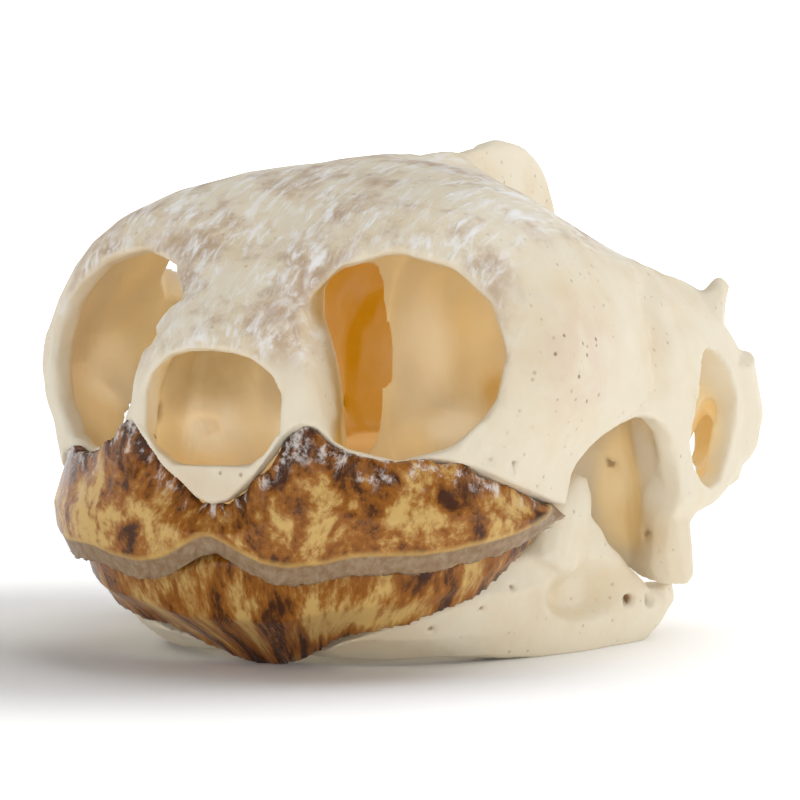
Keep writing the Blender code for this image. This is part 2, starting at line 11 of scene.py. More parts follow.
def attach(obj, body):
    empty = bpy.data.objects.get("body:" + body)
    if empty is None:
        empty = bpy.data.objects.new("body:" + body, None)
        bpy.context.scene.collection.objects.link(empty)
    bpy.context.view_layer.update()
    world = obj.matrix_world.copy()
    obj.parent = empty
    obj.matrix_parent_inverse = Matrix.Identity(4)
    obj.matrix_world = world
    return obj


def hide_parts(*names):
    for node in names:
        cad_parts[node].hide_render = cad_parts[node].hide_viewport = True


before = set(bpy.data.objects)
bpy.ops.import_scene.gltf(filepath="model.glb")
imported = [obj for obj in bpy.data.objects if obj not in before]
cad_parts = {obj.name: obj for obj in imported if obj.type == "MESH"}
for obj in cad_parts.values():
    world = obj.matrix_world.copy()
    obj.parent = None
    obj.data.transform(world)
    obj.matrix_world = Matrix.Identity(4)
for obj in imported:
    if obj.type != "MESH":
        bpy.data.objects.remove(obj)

bl_info = {
    "name": "Turtle Skull",
    "version": (1, 0, 0),
    "blender": (4, 5, 0),
    "location": "3D View > Sidebar > Turtle Skull",
    "description": "Dresses a turtle skull in bone and horn and sets it on a studio floor",
    "category": "Object",
}

MM = 0.001
MERGE = 1e-6
# Shares of a step towards and away from the neighbours, which together smooth without shrinking
SHRINK = 0.55
GROW = -0.56


# Settings that a user would change

class BoneSettings(bpy.types.PropertyGroup):
    """Sizes and colours of the bone."""

    cell: FloatProperty(name="Cell", description="Width of the mesh's cells before it is thinned",
                        default=0.15 * MM, unit="LENGTH", precision=5)
    thicken: FloatProperty(name="Thicken", description="Added all round, so that thin rims stay whole",
                           default=0.04 * MM, unit="LENGTH", precision=5)
    relax: IntProperty(name="Relax", description="Rounds of smoothing that keep the rims crisp", default=11)
    swell: FloatProperty(name="Swell", description="Height of the slow swells of the bone",
                         default=0.2 * MM, unit="LENGTH", precision=5)
    skull_faces: IntProperty(name="Skull faces", description="Most triangles of the skull", default=190000)
    jaw_faces: IntProperty(name="Jaw faces", description="Most triangles of the lower jaw", default=90000)
    cream: FloatVectorProperty(name="Cream", description="Clean dry bone", subtype="COLOR", size=3,
                               default=(0.83, 0.75, 0.59))
    warm: FloatVectorProperty(name="Warm", description="Bone with some oil left in it", subtype="COLOR",
                              size=3, default=(0.74, 0.57, 0.34))
    stain: FloatVectorProperty(name="Stain", description="Grey brown patches of the roof", subtype="COLOR",
                               size=3, default=(0.47, 0.31, 0.20))
    chalk: FloatVectorProperty(name="Chalk", description="White bloom on the roof", subtype="COLOR", size=3,
                               default=(0.95, 0.94, 0.92))
    # Painted shade: the warm tan of bone in recesses
    inside: FloatVectorProperty(name="Inside", description="Bone that is shut in", subtype="COLOR", size=3,
                                default=(0.80, 0.60, 0.28))
    # Painted light: the amber of light coming through thin bone
    amber: FloatVectorProperty(name="Amber", description="Thin bone that light comes through",
                               subtype="COLOR", size=3, default=(0.50, 0.26, 0.010))


class HornSettings(bpy.types.PropertyGroup):
    """Sizes and colours of the horn sheaths."""

    cell: FloatProperty(name="Cell", description="Width of the mesh's cells", default=0.2 * MM,
                        unit="LENGTH", precision=5)
    band: FloatProperty(name="Band", description="Height of the pale band along the cutting edge",
                        default=0.95 * MM, unit="LENGTH", precision=5)
    chips: FloatProperty(name="Chips", description="Depth of the chips along the cutting edge",
                         default=0.22 * MM, unit="LENGTH", precision=5)
    ragged: FloatProperty(name="Ragged", description="Unevenness of the edge that lies on the bone",
                          default=0.32 * MM, unit="LENGTH", precision=5)
    dark: FloatVectorProperty(name="Dark", description="Dark blotches", subtype="COLOR", size=3,
                              default=(0.06, 0.017, 0.004))
    orange: FloatVectorProperty(name="Orange", description="Horn between dark and tan", subtype="COLOR",
                                size=3, default=(0.34, 0.115, 0.010))
    tan: FloatVectorProperty(name="Tan", description="Pale blotches", subtype="COLOR", size=3,
                             default=(0.66, 0.43, 0.14))
    edge: FloatVectorProperty(name="Edge", description="Pale band along the cutting edge", subtype="COLOR",
                              size=3, default=(0.27, 0.165, 0.085))
    bloom: FloatVectorProperty(name="Bloom", description="White bloom on the border of the upper sheath",
                               subtype="COLOR", size=3, default=(0.82, 0.78, 0.74))


class StageSettings(bpy.types.PropertyGroup):
    """The floor, the lights and the camera."""

    azimuth: FloatProperty(name="Azimuth", description="Turn of the camera round the skull",
                           default=math.radians(26.3), subtype="ANGLE")
    elevation: FloatProperty(name="Elevation", description="Camera's angle above the floor",
                             default=math.radians(3.4), subtype="ANGLE")
    distance: FloatProperty(name="Distance", description="From the camera to the middle of the skull",
                            default=231 * MM, unit="LENGTH")
    lens: FloatProperty(name="Lens", description="Focal length in millimetres", default=191.66)
    floor: FloatProperty(name="Floor", description="Radius of the flat part of the floor",
                         default=0.45, unit="LENGTH")
    white: FloatVectorProperty(name="White", description="Colour of the floor", subtype="COLOR", size=3,
                               default=(0.93, 0.93, 0.93))
    key_power: FloatProperty(name="Key", description="Power of the lamp above, in watts", default=2.0)
    fill_power: FloatProperty(name="Fill", description="Power of the lamp in front, in watts", default=0.2)
    sky: FloatProperty(name="Sky", description="Strength of the light from all round", default=0.3)
    # The floor's glows paint its shadow: less light under and near the skull
    under_glow: FloatProperty(name="Under glow", description="Light that the floor gives off under the skull",
                              default=0.0)
    near_glow: FloatProperty(name="Near glow", description="Light that the floor gives off near the skull",
                             default=0.36)
    far_glow: FloatProperty(name="Far glow", description="Light that the floor gives off far from the skull",
                            default=0.65)


# Objects and modifiers

def pick(piece):
    """Selects one object alone and makes it the active one."""
    bpy.ops.object.select_all(action="DESELECT")
    piece.select_set(True)
    bpy.context.view_layer.objects.active = piece


def copy_of_node(node_name, piece_name):
    """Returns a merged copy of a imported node, ready to be shaped."""
    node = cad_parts[node_name]
    piece = node.copy()
    piece.data = node.data.copy()
    piece.name = piece_name
    piece.data.name = piece_name
    piece.parent = None
    piece.matrix_world = Matrix.Identity(4)
    bpy.context.scene.collection.objects.link(piece)
    piece.data.materials.clear()
    pick(piece)
    bpy.ops.object.mode_set(mode="EDIT")
    bpy.ops.mesh.select_all(action="SELECT")
    bpy.ops.mesh.remove_doubles(threshold=MERGE)
    bpy.ops.object.mode_set(mode="OBJECT")
    return piece


def modify(piece, kind, **values):
    """Adds a modifier to an object, sets it and applies it."""
    pick(piece)
    bpy.ops.object.modifier_add(type=kind)
    step = piece.modifiers[-1]
    for name, value in values.items():
        setattr(step, name, value)
    bpy.ops.object.modifier_apply(modifier=step.name)


def new_skin(piece, cell, relax):
    """Gives an object a new even skin of small cells."""
    modify(piece, "REMESH", mode="VOXEL", voxel_size=cell, use_smooth_shade=True)
    for _ in range(relax):
        modify(piece, "SMOOTH", factor=SHRINK, iterations=1)
        modify(piece, "SMOOTH", factor=GROW, iterations=1)


def swell_texture(name, size, depth):
    """Returns a cloud texture for a displacement, with lumps of a size in metres."""
    texture = bpy.data.textures.new(name, "CLOUDS")
    texture.noise_scale = size
    texture.noise_depth = depth
    return texture


def thin_out(piece, faces):
    """Reduces an object to a number of triangles, if it has more."""
    count = sum(len(face.vertices) - 2 for face in piece.data.polygons)
    if count > faces:
        modify(piece, "DECIMATE", ratio=faces / count)


def hand_in(piece, node_name):
    """Puts a finished piece in the place of its node."""
    pick(piece)
    bpy.ops.object.shade_smooth()
    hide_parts(node_name)
    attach(piece, "root")


def vertex_places(mesh):
    """Returns the places of a mesh's vertices in metres, one row for each."""
    places = np.empty(len(mesh.vertices) * 3)
    mesh.vertices.foreach_get("co", places)
    return places.reshape(-1, 3)


def vertex_normals(mesh):
    """Returns the normals of a mesh's vertices, one row for each."""
    normals = np.empty(len(mesh.vertices) * 3)
    mesh.vertex_normals.foreach_get("vector", normals)
    return normals.reshape(-1, 3)


def move_vertices(mesh, places):
    """Puts a mesh's vertices at new places."""
    mesh.vertices.foreach_set("co", places.ravel())
    mesh.update()


def store(mesh, name, values):
    """Keeps one number, or one row of three, for each vertex under a name."""
    kind, key = ("FLOAT", "value") if values.ndim == 1 else ("FLOAT_VECTOR", "vector")
    mesh.attributes.new(name, kind, "POINT").data.foreach_set(key, values.astype(np.float32).ravel())


def soft_step(values, low, high):
    """Rises smoothly from 0 at low to 1 at high."""
    t = np.clip((values - low) / (high - low), 0, 1)
    return t * t * (3 - 2 * t)


# Bone

SWELL_WIDTH = 3.2 * MM
# Rays that look for bone before each vertex: their count, how far they see and where they start
SHELTER_RAYS = 40
SHELTER_REACH = 14 * MM
SHELTER_START = 0.1 * MM


def spread_directions(count):
    """Returns directions spread evenly over a sphere."""
    turn = math.pi * (3 - math.sqrt(5))
    directions = []
    for i in range(count):
        height = 1 - 2 * (i + 0.5) / count
        radius = math.sqrt(1 - height * height)
        directions.append(Vector((math.cos(turn * i) * radius, math.sin(turn * i) * radius, height)))
    return directions


def shelter_of(mesh):
    """Returns for each vertex how much of what lies before it is shut in by the bone around."""
    directions = spread_directions(SHELTER_RAYS)
    tree = BVHTree.FromPolygons([v.co for v in mesh.vertices], [tuple(p.vertices) for p in mesh.polygons])
    shelter = np.zeros(len(mesh.vertices))
    for i, vertex in enumerate(mesh.vertices):
        start = vertex.co + vertex.normal * SHELTER_START
        tried = [d for d in directions if d.dot(vertex.normal) > 0.25]
        shut = sum(tree.ray_cast(start, d, SHELTER_REACH)[0] is not None for d in tried)
        shelter[i] = shut / max(len(tried), 1)
    return even_out(mesh, shelter, 3)


def even_out(mesh, values, rounds):
    """Averages values over neighbouring vertices."""
    edges = np.empty(len(mesh.edges) * 2, dtype=np.int64)
    mesh.edges.foreach_get("vertices", edges)
    a, b = edges.reshape(-1, 2).T
    count = np.bincount(np.concatenate((a, b)), minlength=len(values)) + 1
    for _ in range(rounds):
        total = values + np.bincount(a, values[b], len(values)) + np.bincount(b, values[a], len(values))
        values = total / count
    return values


def roof_share(places, normals, shelter):
    """Returns how far each vertex belongs to the chalky roof between and behind the orbits."""
    x, y, z = (places / MM).T
    high = soft_step(z, 15.0, 17.5)
    middle = 1 - soft_step(np.abs(x), 11.5, 14.5)
    front = 1 - soft_step(y, 3, 11)
    outside = 1 - soft_step(shelter, 0.15, 0.45)
    return soft_step(normals[:, 2], -0.35, 0.15) * high * middle * front * outside


def ball_share(places, centre, radii):
    """Returns 1 at the centre of an ellipsoid in millimetres, falling softly to 0 at its skin."""
    away = np.sqrt((((places / MM - np.array(centre)) / np.array(radii)) ** 2).sum(1))
    return 1 - soft_step(away, 0.35, 1.0)


# Where the amber of light through thin bone is painted, with a painted glow: centre and radii in millimetres,
# and strength, on the left
AMBER_SPOTS = (((5.4, 2.2, 13.5), (1.6, 2.0, 1.8), 0.9), ((13.7, 12.7, 11.6), (2.2, 2.6, 3.2), 0.45),
               ((13.2, 4.2, 6.5), (2.6, 1.6, 2.2), 0.35), ((2.6, -15.6, 13.2), (0.5, 1.0, 1.6), 0.8))
# Painted shade: tan bone behind the cheek's opening and in the ear, given in the same way
RECESS_SHADE_SPOTS = (((12.2, 4.4, 8.4), (3.4, 2.4, 6.2), 0.75), ((14.6, 8.6, 11.6), (2.6, 2.8, 4.4), 0.7))
# Painted light: pale lit bone, with a painted glow, on the walls of the orbits and round the opening at the
# back of the nose
PAINTED_LIGHT_SPOTS = (((3.9, -4.0, 15.5), (1.6, 4.0, 5.0), 0.8), ((4.4, -1.5, 11.9), (1.6, 3.6, 1.5), 1.0),
              ((14.7, -5.0, 14.2), (1.4, 5.0, 3.4), 0.8), ((3.0, -15.6, 12.4), (2.7, 1.0, 2.0), 1.0))
# Painted shade: browner bone deep in the nose, which no light comes through
SHADY_SPOTS = (((2.2, -17.0, 15.6), (4.6, 3.6, 4.2), 0.9),)
# Where pores gather, behind each orbit and under the nose
PORED_SPOTS = (((15.3, -9.6, 16.4), (3.0, 5.2, 4.8), 1.0), ((15.6, 0.6, 17.0), (1.6, 1.8, 2.6), 0.6),
               ((1.0, -21.0, 10.6), (2.4, 1.4, 1.6), 0.7))


def spots_share(places, spots):
    """Returns how far each vertex lies in the strongest of some spots, which are on both sides."""
    share = np.zeros(len(places))
    for (cx, cy, cz), radii, strength in spots:
        for mirror in (1, -1):
            share = np.maximum(share, ball_share(places, (cx * mirror, cy, cz), radii) * strength)
    return share


def amber_share(places, normals, shelter):
    """Returns how far each vertex gets the painted amber light and glow of the thin bone of the nose's sides
    and the braincase.
    """
    x, y, z = (places / MM).T
    side = np.sign(x)
    level = soft_step(z, 9.8, 10.8) * (1 - soft_step(z, 20.5, 21.5))
    inward = soft_step(-normals[:, 0] * side, 0.1, 0.5)
    braincase = inward * (1 - soft_step(np.abs(x), 5.6, 6.4)) * soft_step(y, -6.8, -5.0) * level
    outward = soft_step(normals[:, 0] * side, 0.2, 0.6)
    nose = outward * (1 - soft_step(np.abs(x), 5.2, 5.8)) * (1 - soft_step(y, -15.4, -14.6)) * level
    nose *= soft_step(y, -18.3, -17.6) * soft_step(shelter, 0.25, 0.4)
    return np.maximum(np.maximum(braincase, nose), spots_share(places, AMBER_SPOTS))


# Dents and small openings for vessels: centre, the way they face, radii and depth in millimetres, and
# darkness, the painted shade inside the openings
SKULL_DENTS = (((11.4, 4.0, 9.6), (0.3, -0.9, 0), (0.5, 0.6, 0.34), 0.6, 1.0),
               ((13.6, 3.6, 5.9), (0.2, -1, 0), (0.5, 0.6, 0.35), 0.3, 0.7),
               ((4.9, 4.0, 12.5), (-1, 0.1, 0), (0.6, 0.42, 0.42), 0.5, 1.4),
               ((15.6, 9.4, 9.6), (0.3, -0.9, 0.3), (0.45, 0.6, 0.4), 0.3, 0.9),
               ((1.9, -20.6, 11.2), (0, -1, 0.1), (0.35, 0.6, 0.3), 0.25, 0.8),
               ((12.6, -14.2, 11.2), (0.8, -0.5, 0), (0.4, 0.4, 0.32), 0.25, 0.6),
               ((13.4, -12.9, 10.9), (0.8, -0.5, 0), (0.4, 0.4, 0.32), 0.25, 0.6),
               ((3.1, -15.6, 12.4), (0, -1, 0), (2.5, 1.2, 1.8), -0.5, 0.0),
               ((3.1, -15.8, 12.4), (0, -1, 0), (1.7, 1.5, 1.1), 0.95, 0.4),
               ((4.2, -18.4, 13.2), (-1, 0, 0), (0.8, 1.1, 1.3), 0.1, 0.75))
JAW_DENTS = (((12.9, -2.6, 3.4), (1, -0.2, 0.2), (2.4, 4.2, 1.9), 1.15, 0.0),
             ((13.6, 1.5, 2.6), (1, -0.2, 0.1), (0.7, 0.62, 0.36), 0.7, 1.2),
             ((14.0, 3.6, 2.4), (1, 0, 0.1), (0.9, 0.7, 0.55), 0.45, 0.5),
             ((9.0, -13.3, 2.1), (0.6, -0.6, -0.3), (0.4, 0.4, 0.26), 0.25, 0.8),
             ((10.9, -11.0, 3.1), (0.9, -0.4, 0), (0.4, 0.4, 0.26), 0.25, 0.7),
             ((11.6, -8.9, 4.1), (0.9, -0.3, 0), (0.4, 0.4, 0.26), 0.2, 0.6))


def press_dents(places, normals, dents):
    """Pushes dents into the bone on both sides, and returns how much painted shade each vertex gets in them.
    """
    dark = np.zeros(len(places))
    for (cx, cy, cz), (wx, wy, wz), radii, depth, darkness in dents:
        for mirror in (1, -1):
            share = ball_share(places, (cx * mirror, cy, cz), radii)
            way = np.array((wx * mirror, wy, wz)) / math.sqrt(wx * wx + wy * wy + wz * wz)
            share *= soft_step(normals @ way, 0.1, 0.5)
            places -= share[:, None] * way * depth * MM
            dark = np.maximum(dark, share * darkness)
    return dark


# The suture behind the orbit: heights and places along Y of the step, in millimetres
STEP_HEIGHTS = (12.6, 13.1, 14.1, 15.7, 17.3, 18.8, 20.4)
STEP_LINE = (-3.4, -2.6, -1.9, -1.4, -0.8, -0.2, 1.6)
STEP_DEPTH = 0.42
STEP_REACH = 3.4


def press_step(places, normals):
    """Sinks the bone behind the suture, so that the plate before it stands proud."""
    x, y, z = (places / MM).T
    behind = y - np.interp(z, STEP_HEIGHTS, STEP_LINE) - 0.25 * np.sin(z * 2.3)
    sunk = soft_step(behind, 0, 0.35) * (1 - soft_step(behind, 0.35, STEP_REACH))
    where = soft_step(z, 12.4, 13.4) * (1 - soft_step(z, 18.6, 20.6)) * soft_step(np.abs(x), 13.2, 14.2)
    outward = soft_step(normals[:, 0] * np.sign(x), 0.3, 0.7)
    places -= normals * (sunk * where * outward * STEP_DEPTH * MM)[:, None]


def bone_piece(node_name, piece_name, faces, dents, settings):
    """Makes the finely skinned copy of one bone with its slow swells, dents and colour masks."""
    piece = copy_of_node(node_name, piece_name)
    modify(piece, "DISPLACE", strength=settings.thicken, mid_level=0)
    new_skin(piece, settings.cell, settings.relax)
    texture = swell_texture(piece_name + "_swells", SWELL_WIDTH, 1)
    modify(piece, "DISPLACE", texture=texture, texture_coords="LOCAL", strength=settings.swell, mid_level=0.5)
    thin_out(piece, faces)
    mesh = piece.data
    places, normals = vertex_places(mesh), vertex_normals(mesh)
    press_step(places, normals)
    dark = press_dents(places, normals, dents)
    places[:, 2] = np.maximum(places[:, 2], 0)
    move_vertices(mesh, places)
    # Shelter, raised by the painted-shade spots, drives the painted shade and glow of recesses
    shelter = np.maximum(shelter_of(mesh), spots_share(places, RECESS_SHADE_SPOTS))
    store(mesh, "shelter", shelter)
    store(mesh, "dark", dark)
    store(mesh, "pale", spots_share(places, PAINTED_LIGHT_SPOTS))
    store(mesh, "shady", spots_share(places, SHADY_SPOTS))
    store(mesh, "pored", spots_share(places, PORED_SPOTS))
    store(mesh, "amber", even_out(mesh, amber_share(places, normals, shelter), 2))
    store(mesh, "roof", even_out(mesh, roof_share(places, normals, shelter), 2))
    return piece


# Horn

HORN_CENTRE_Y = -10 * MM
HORN_RADIUS = 13 * MM
HORN_RELAX = 4
# Steps round the beak at which the two edge lines are measured
BINS = 72
# Least height of a sheath, and how far its band lies under the rest
LEAST_HEIGHT = 0.3 * MM
BAND_STEP = 0.2 * MM
# How far the border on the bone is drawn on, to close the gap beside it
RIM_RISE = 0.2 * MM


def horn_lines(angles, heights):
    """Returns the lower and the upper edge line of a sheath as heights at even angles round it."""
    steps = np.linspace(angles.min(), angles.max(), BINS + 1)
    middles = (steps[:-1] + steps[1:]) / 2
    bins = np.clip(np.searchsorted(steps, angles) - 1, 0, BINS - 1)
    low = np.array([heights[bins == i].min() for i in range(BINS)])
    high = np.array([heights[bins == i].max() for i in range(BINS)])
    return middles, low, high


def waves(x, y, size, seed):
    """Returns smooth noise between -1 and 1 at places in metres."""
    return np.array([noise.noise(Vector((a / size, b / size, seed))) for a, b in zip(x, y)])


# Blotches of the sheaths: middle as millimetres round the beak and from its cutting edge, half width, half
# height, and tone from dark at -1 to tan at 1
UPPER_BLOTCHES = ((-8.8, 2.6, 1.7, 2.2, 0.9), (-5.6, 5.6, 1.5, 1.5, -0.8), (-5.4, 1.6, 1.4, 1.0, -0.7),
                  (-3.4, 3.8, 1.0, 1.6, 0.4), (0.4, 1.6, 3.2, 1.3, -0.05), (5.2, 5.8, 1.9, 1.7, -1.0),
                  (6.6, 3.3, 1.7, 1.2, 0.8), (3.6, 3.4, 0.8, 1.2, -0.5), (10.0, 1.5, 3.4, 0.6, -0.8),
                  (9.4, 4.4, 1.3, 0.8, -0.7), (12.4, 3.0, 1.8, 0.8, 0.8), (15.2, 3.7, 2.3, 0.7, -0.9),
                  (17.8, 2.0, 1.6, 0.6, 0.8), (19.8, 1.4, 0.9, 1.2, -0.9), (14.6, 1.9, 1.5, 0.6, -0.5),
                  (-12.5, 4.0, 1.6, 0.8, -0.8), (-14.5, 2.6, 2.2, 0.9, 0.7), (-18.6, 1.8, 1.4, 0.9, -0.8))
LOWER_BLOTCHES = ((-10.2, 1.6, 1.3, 2.2, -0.9), (-7.4, 2.6, 1.3, 1.8, 0.6), (-4.4, 1.6, 1.2, 2.6, -0.6),
                  (-1.6, 3.4, 1.0, 3.2, -0.8), (1.0, 3.4, 0.75, 3.4, 1.0), (3.7, 3.2, 1.1, 3.4, -1.0),
                  (8.0, 3.0, 2.8, 1.3, 0.8), (6.4, 4.4, 1.6, 0.7, -0.6), (12.4, 0.9, 2.8, 0.7, -0.9),
                  (15.4, 1.6, 1.6, 0.8, -0.7), (11.6, 2.8, 1.4, 0.8, 0.5), (-14.0, 1.2, 2.4, 0.8, -0.8))


def tone_of(around, rise, blotches):
    """Returns how dark or tan the blotches make each place of a sheath, from -1 to 1."""
    bent = around / MM + waves(around, rise, 1.7 * MM, 6.4) * 0.7
    raised = rise / MM + waves(around, rise, 1.3 * MM, 9.7) * 0.6
    tone = np.zeros(len(around))
    for middle, level, wide, tall, value in blotches:
        tone += value * np.exp(-(((bent - middle) / wide) ** 2 + ((raised - level) / tall) ** 2))
    return np.clip(tone, -1, 1)


def sheath_guides(places, normals):
    """Returns for each vertex its angle round the beak, both edge lines, the way out and its outer share."""
    x, y, z = places.T
    angles = np.arctan2(x, HORN_CENTRE_Y - y)
    middles, low, high = horn_lines(angles, z)
    low, high = np.interp(angles, middles, low), np.interp(angles, middles, high)
    radial = np.stack((np.sin(angles), -np.cos(angles), np.zeros_like(x)), 1)
    outer = soft_step((normals * radial).sum(1), -0.1, 0.35)
    return angles, low, high, radial, outer


def horn_piece(node_name, piece_name, settings, blotches, has_band, free_edge, ragged):
    """Makes a sheath: a fine skin with a stepped and chipped cutting edge and a ragged edge on the bone."""
    piece = copy_of_node(node_name, piece_name)
    new_skin(piece, settings.cell, HORN_RELAX)
    mesh = piece.data
    places = vertex_places(mesh)
    angles, low, high, radial, outer = sheath_guides(places, vertex_normals(mesh))
    z = places[:, 2]
    tall = np.maximum(high - low, LEAST_HEIGHT)
    share = np.clip((z - low) / tall, 0, 1)
    around = angles * HORN_RADIUS
    rise = z - low
    if free_edge == "top":
        rise, share = high - z, 1 - share
    lift = 1 if free_edge == "bottom" else -1
    chips = np.maximum(waves(around, rise * 0, 0.9 * MM, 3.1) + 0.1, 0) * settings.chips
    z += lift * chips * (1 - soft_step(rise, 0, 0.9 * MM))
    z += lift * waves(around, rise, 1.5 * MM, 8.6) * ragged * soft_step(share, 0.6, 1)
    z += lift * RIM_RISE * soft_step(share, 0.8, 1)
    ridges = (waves(around, rise * 0.3, 2.1 * MM, 5.2) + 0.5 * waves(around, rise, 0.9 * MM, 2.6)) * 0.08 * MM
    if has_band:
        ridges -= BAND_STEP * (1 - soft_step(rise, settings.band, settings.band + 0.25 * MM))
    places += radial * (ridges * outer)[:, None]
    snug = soft_step(share, 0.7, 0.95) * (1 - outer) * 0.25 * MM
    places -= radial * snug[:, None]
    places[:, 2] = np.maximum(places[:, 2], 0)
    move_vertices(mesh, places)
    store(mesh, "horn_place", np.stack((around / MM, rise / MM, share), 1))
    store(mesh, "tone", tone_of(around, rise, blotches))
    return piece


# Nodes

def add(tree, kind, inputs=None, **values):
    """Adds a node, sets its values, and sets or links its inputs."""
    made = tree.nodes.new(kind)
    for name, value in values.items():
        setattr(made, name, value)
    for key, value in (inputs or {}).items():
        if isinstance(value, bpy.types.NodeSocket):
            tree.links.new(value, made.inputs[key])
        else:
            made.inputs[key].default_value = value
    return made


def mix(tree, factor, a, b):
    """Mixes two colours and returns the result."""
    return add(tree, "ShaderNodeMix", {0: factor, 6: a, 7: b}, data_type="RGBA").outputs[2]


def calc(tree, operation, a, b):
    """Returns the result of a sum on two values."""
    return add(tree, "ShaderNodeMath", {0: a, 1: b}, operation=operation).outputs[0]


def times(tree, first, *others):
    """Returns the product of values."""
    product = first
    for value in others:
        product = calc(tree, "MULTIPLY", product, value)
    return product


def axis(tree, vector, index):
    """Returns one number of a vector."""
    return add(tree, "ShaderNodeSeparateXYZ", {0: vector}).outputs[index]


def fit(tree, value, low, high, to_low=0.0, to_high=1.0):
    """Maps a value smoothly from one range to another."""
    inputs = {"Value": value, "From Min": low, "From Max": high, "To Min": to_low, "To Max": to_high}
    return add(tree, "ShaderNodeMapRange", inputs, interpolation_type="SMOOTHSTEP").outputs[0]


def cloud(tree, vector, scale, detail=3.0, roughness=0.55, distortion=0.0):
    """Returns smooth noise at a scale."""
    inputs = {"Vector": vector, "Scale": scale, "Detail": detail, "Roughness": roughness,
              "Distortion": distortion}
    return add(tree, "ShaderNodeTexNoise", inputs).outputs["Fac"]


def placed(tree, vector, scale=(1, 1, 1), turn=(0, 0, 0), shift=(0, 0, 0)):
    """Returns coordinates that are scaled, turned and shifted."""
    inputs = {"Vector": vector, "Scale": scale, "Rotation": turn, "Location": shift}
    return add(tree, "ShaderNodeMapping", inputs).outputs[0]


def attribute(tree, name, output="Fac"):
    """Returns a value kept on the piece's vertices."""
    return add(tree, "ShaderNodeAttribute", attribute_name=name).outputs[output]


def new_group(name, inputs, outputs):
    """Starts a node group and returns its tree, the sockets that come in and the node to send out to."""
    tree = bpy.data.node_groups.new(name, "ShaderNodeTree")
    for label, kind in inputs:
        tree.interface.new_socket(name=label, in_out="INPUT", socket_type=kind)
    for label, kind in outputs:
        tree.interface.new_socket(name=label, in_out="OUTPUT", socket_type=kind)
    return tree, tree.nodes.new("NodeGroupInput").outputs, tree.nodes.new("NodeGroupOutput")


def use_group(tree, group, inputs):
    """Places a node group and returns its outputs."""
    return add(tree, "ShaderNodeGroup", inputs, node_tree=group).outputs


def new_material(name):
    """Starts a material and returns it with its tree and its shader."""
    material = bpy.data.materials.new(name)
    material.use_nodes = True
    return material, material.node_tree, material.node_tree.nodes["Principled BSDF"]


def join_surface(tree, shader, colour, roughness, bump):
    """Joins a colour, a roughness and a bump to a shader."""
    tree.links.new(colour, shader.inputs["Base Color"])
    tree.links.new(roughness, shader.inputs["Roughness"])
    tree.links.new(bump.outputs[0], shader.inputs["Normal"])


def rgba(colour):
    """Returns a colour with full alpha."""
    return (*colour, 1)


COLOUR = "NodeSocketColor"
NUMBER = "NodeSocketFloat"
VECTOR = "NodeSocketVector"


def pore_group():
    """Makes the group for small dark pores that gather in places."""
    inputs = [("Place", VECTOR), ("Spacing", NUMBER), ("Amount", NUMBER), ("Gather", NUMBER)]
    tree, given, out = new_group("Bone pores", inputs, [("Pores", NUMBER)])
    spots = add(tree, "ShaderNodeTexVoronoi", {"Vector": given["Place"], "Scale": given["Spacing"]})
    near = fit(tree, spots.outputs["Distance"], 0.07, 0.22, 1.0, 0.0)
    picked = add(tree, "ShaderNodeSeparateColor", {0: spots.outputs["Color"]}).outputs[0]
    some = fit(tree, picked, 0.3, 0.65)
    gathered = fit(tree, cloud(tree, given["Place"], 260.0, 2.0), 0.45, 0.62, 0.0, 0.5)
    gathered = calc(tree, "MAXIMUM", gathered, given["Gather"])
    amount = times(tree, some, gathered, given["Amount"])
    tree.links.new(times(tree, near, amount), out.inputs[0])
    return tree


def bone_colour_group():
    """Makes the group for dry bone: cream with warm patches, painted shade of tan where shut in, and painted
    amber light where thin.
    """
    inputs = [("Place", VECTOR), ("Shelter", NUMBER), ("Glow", NUMBER), ("Cream", COLOUR), ("Warm", COLOUR),
              ("Inside", COLOUR), ("Amber", COLOUR)]
    tree, given, out = new_group("Bone colour", inputs, [("Color", COLOUR)])
    patches = fit(tree, cloud(tree, given["Place"], 170.0, 4.0), 0.4, 0.75)
    speckle = fit(tree, cloud(tree, given["Place"], 900.0, 5.0, 0.7), 0.35, 0.75)
    warmth = calc(tree, "ADD", times(tree, patches, 0.55), times(tree, speckle, 0.12))
    outside = mix(tree, warmth, given["Cream"], given["Warm"])
    # Painted shade: tan where the bone is shut in
    depth = fit(tree, given["Shelter"], 0.22, 0.85, 0.0, 0.9)
    uneven = fit(tree, cloud(tree, given["Place"], 300.0, 3.0), 0.25, 0.8, 0.6, 1.0)
    recess_shaded = mix(tree, times(tree, depth, uneven), outside, given["Inside"])
    # Painted light: amber where light comes through thin bone
    glow = times(tree, given["Glow"], fit(tree, uneven, 0.6, 1.0, 0.85, 1.0))
    tree.links.new(mix(tree, glow, recess_shaded, given["Amber"]), out.inputs[0])
    return tree


# Layers of streaks: a turn in degrees, and how fine the layer is. The turn comes after the stretch, so it
# varies the pattern only, and every layer runs fore and aft
FIBRE_LAYERS = ((35, 1.0), (-28, 1.25), (80, 0.8))
FIBRE_STRETCH = (1.0, 0.16, 0.5)


def fibre_group():
    """Makes the group for the felted streaks of the skull's roof."""
    tree, given, out = new_group("Roof fibres", [("Place", VECTOR)], [("Streaks", NUMBER)])
    layers = []
    for turn, scale in FIBRE_LAYERS:
        place = placed(tree, given["Place"], FIBRE_STRETCH, (0, 0, math.radians(turn)))
        layers.append(cloud(tree, place, 1500.0 * scale, 3.0, 0.6, 0.4))
    streaks = calc(tree, "MAXIMUM", calc(tree, "MAXIMUM", layers[0], layers[1]), layers[2])
    tree.links.new(fit(tree, streaks, 0.5, 0.72), out.inputs[0])
    return tree


